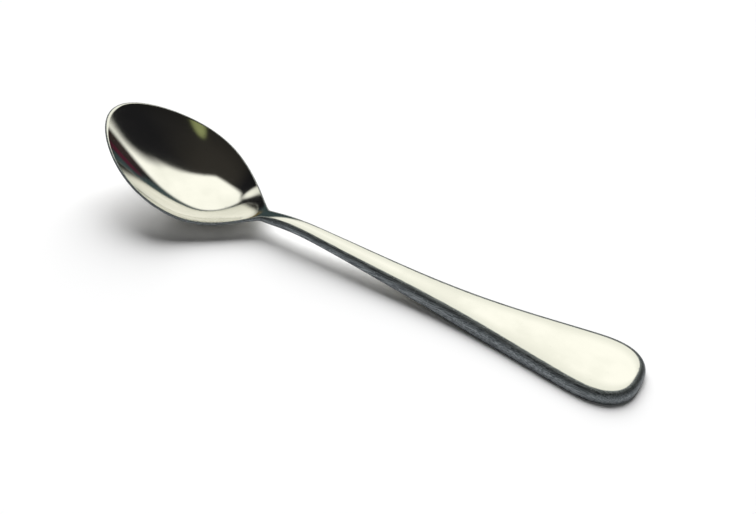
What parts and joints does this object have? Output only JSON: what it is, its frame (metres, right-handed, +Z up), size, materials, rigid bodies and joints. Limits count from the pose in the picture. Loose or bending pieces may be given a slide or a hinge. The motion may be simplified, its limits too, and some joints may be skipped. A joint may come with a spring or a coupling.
{
  "type": "teaspoon",
  "caption": "Teaspoon with an egg-shaped bowl, a slim arched neck and a handle that widens to a rounded end.",
  "frame": {"origin": "on the table, under the middle of the spoon's bounding box", "axes": "+X from the bowl's tip to the handle's end, +Z up, away from the table"},
  "size_m": [0.137, 0.032, 0.0181],
  "materials": {
    "polished_steel": "mirror-polished faces with a finely ground edge"
  },
  "bodies": {
    "root": {"bowl": "polished_steel", "neck": "polished_steel", "handle": "polished_steel"}
  },
  "joints": []
}
